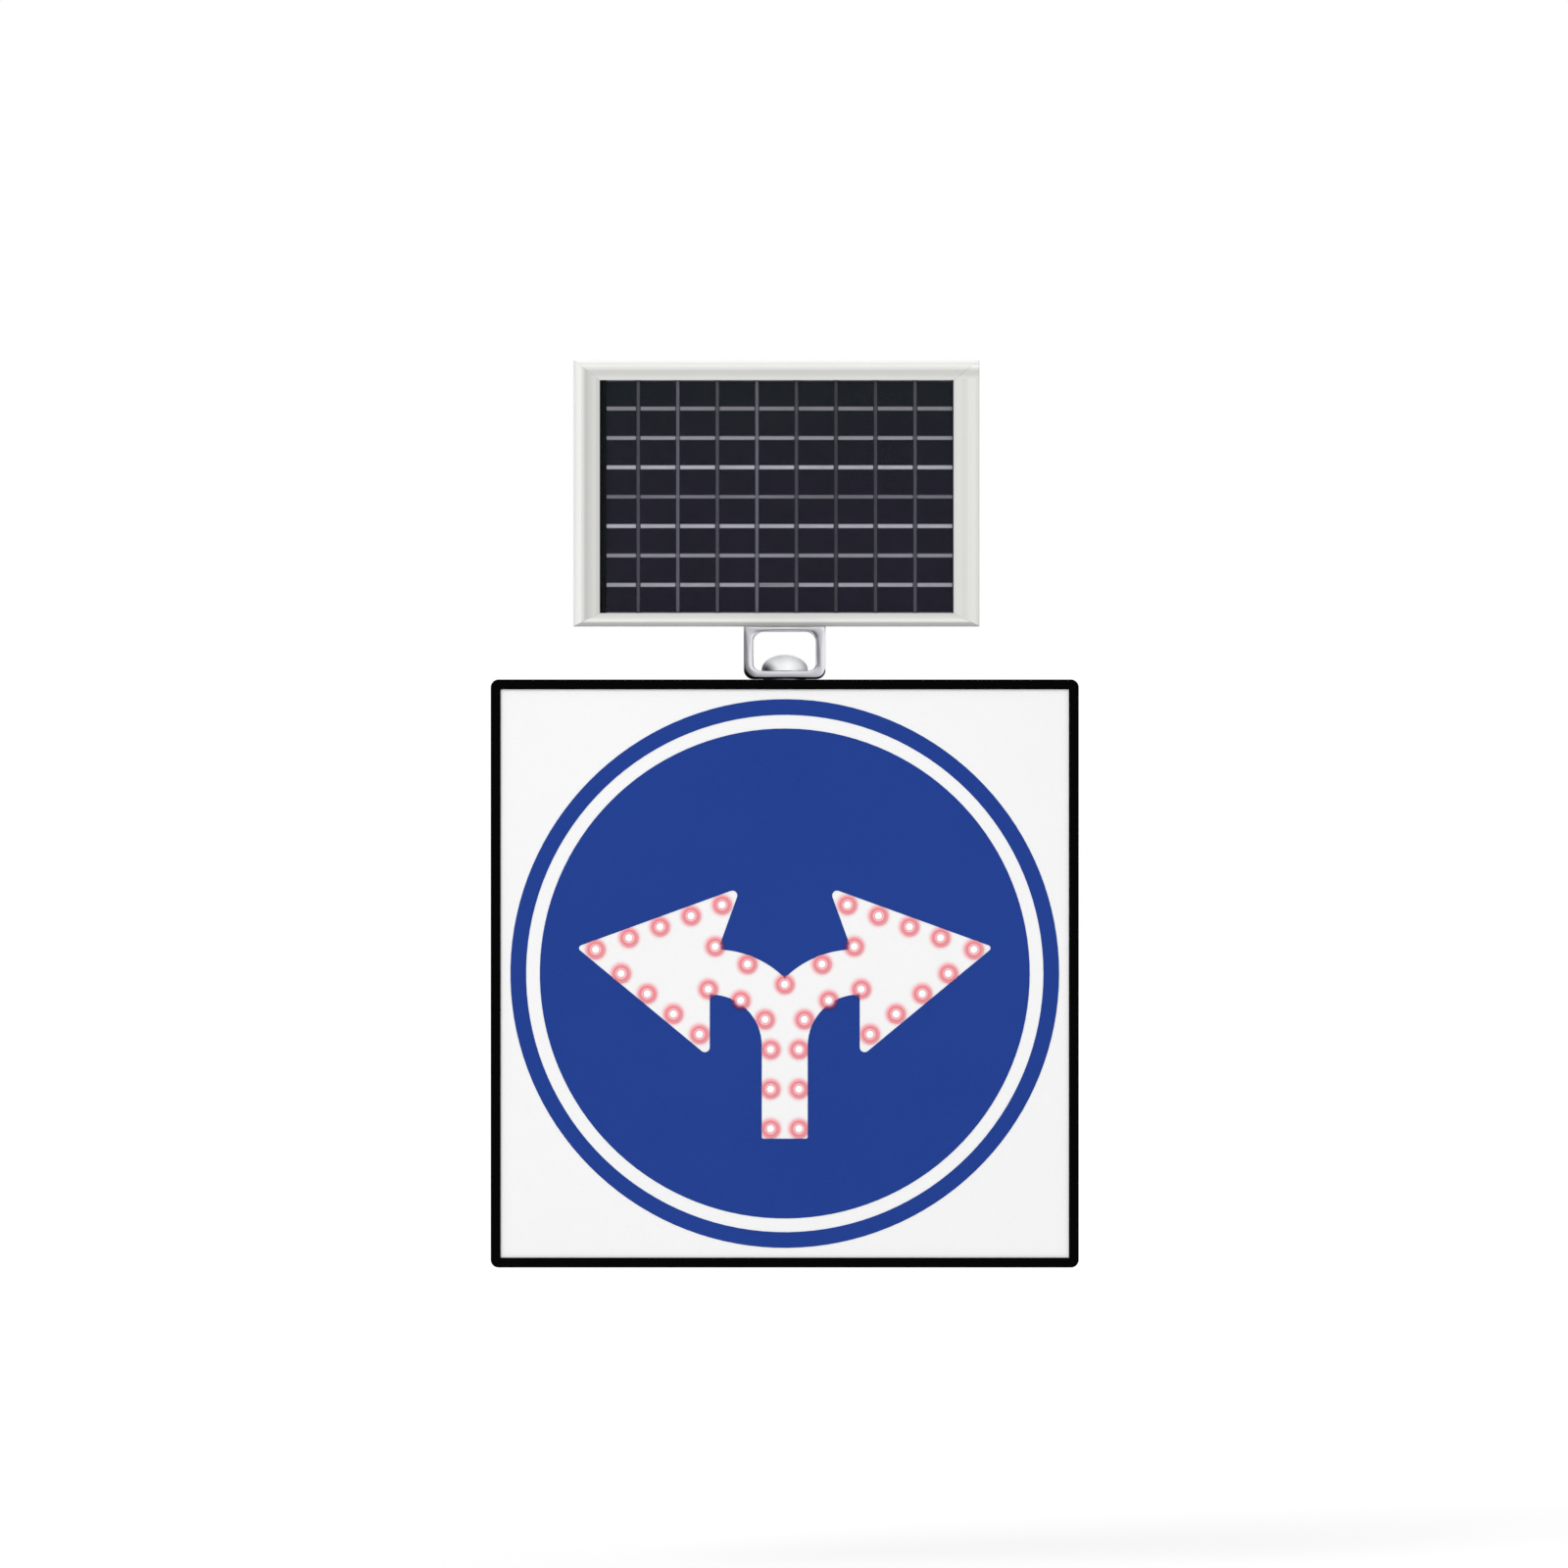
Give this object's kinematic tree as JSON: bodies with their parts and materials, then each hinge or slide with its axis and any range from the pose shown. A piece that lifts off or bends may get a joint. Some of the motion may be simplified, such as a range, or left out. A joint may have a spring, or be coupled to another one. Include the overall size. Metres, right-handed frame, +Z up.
{
  "type": "solar led traffic sign",
  "caption": "Square lit traffic sign box with a blue keep-left-or-right disc, red-ringed lamps, rear mounting rails and a solar panel that swivels on a loop bracket above it.",
  "frame": {"origin": "centre of the rectangle of four bolt holes, on the rear faces of the two mounting rails", "axes": "+X right as the sign is read from the front, +Y to the rear, away from the reader, +Z up"},
  "size_m": [0.6, 0.0775, 0.9265],
  "materials": {
    "black_frame": "satin",
    "aluminium_sheet": "satin",
    "white_sheeting": "semi-gloss",
    "blue_film": "semi-gloss",
    "red_lens": "gloss",
    "lamp": "gloss",
    "circuit_board": "satin",
    "zinc_steel": "satin",
    "black_plastic": "matte",
    "electronic_part": "matte",
    "cell_can": "gloss",
    "seal_rubber": "matte",
    "polished_metal": "polished",
    "panel_frame": "satin",
    "panel_glass": "gloss",
    "solar_cell": "gloss",
    "ribbon": "satin",
    "backsheet": "matte"
  },
  "bodies": {
    "sign_body": {"frame_rail_bottom": "black_frame", "frame_rail_left": "black_frame", "frame_rail_top": "black_frame", "frame_rail_right": "black_frame", "corner_keys": "zinc_steel", "face_plate": "aluminium_sheet", "white_sheeting": "white_sheeting", "blue_ring_film": "blue_film", "blue_disc_film": "blue_film", "led_bezels": "red_lens", "led_bulbs": "lamp", "led_board_left": "circuit_board", "led_board_right": "circuit_board", "led_board_stem": "circuit_board", "board_spacers": "zinc_steel", "board_screws": "zinc_steel", "control_board": "circuit_board", "control_parts": "electronic_part", "control_stands": "zinc_steel", "control_screws": "zinc_steel", "battery_tray": "black_plastic", "battery_cells": "cell_can", "battery_strap": "zinc_steel", "battery_screws": "zinc_steel", "cover_gasket": "seal_rubber", "back_cover": "aluminium_sheet", "cover_screws": "zinc_steel", "mounting_rail_upper": "zinc_steel", "mounting_rail_lower": "zinc_steel", "rail_rivets": "aluminium_sheet", "cable_gland": "black_plastic", "gland_nut": "black_plastic", "vent_plug": "black_plastic", "pivot_bolt": "polished_metal", "swivel_washer": "zinc_steel", "stiffening_plate": "zinc_steel", "pivot_nut": "zinc_steel"},
    "panel_head": {"loop_bracket": "polished_metal", "cross_rail": "zinc_steel", "cross_rail_screws": "zinc_steel", "ear_bolts": "zinc_steel", "ear_nuts": "zinc_steel", "panel_rail_bottom": "panel_frame", "panel_rail_left": "panel_frame", "panel_rail_top": "panel_frame", "panel_rail_right": "panel_frame", "panel_corner_keys": "zinc_steel", "panel_glass": "panel_glass", "edge_tape": "black_plastic", "cell_ribbons": "ribbon", "solar_cells": "solar_cell", "backsheet": "backsheet", "junction_box": "black_plastic", "junction_lid": "black_plastic", "junction_screws": "zinc_steel", "junction_gland": "black_plastic"}
  },
  "joints": [
    {"name": "panel_swivel", "type": "hinge", "parent": "sign_body", "child": "panel_head", "pos_m": [0, -0.0525, 0.3], "axis": [0, 0, 1], "range_deg": [-90, 90]}
  ]
}
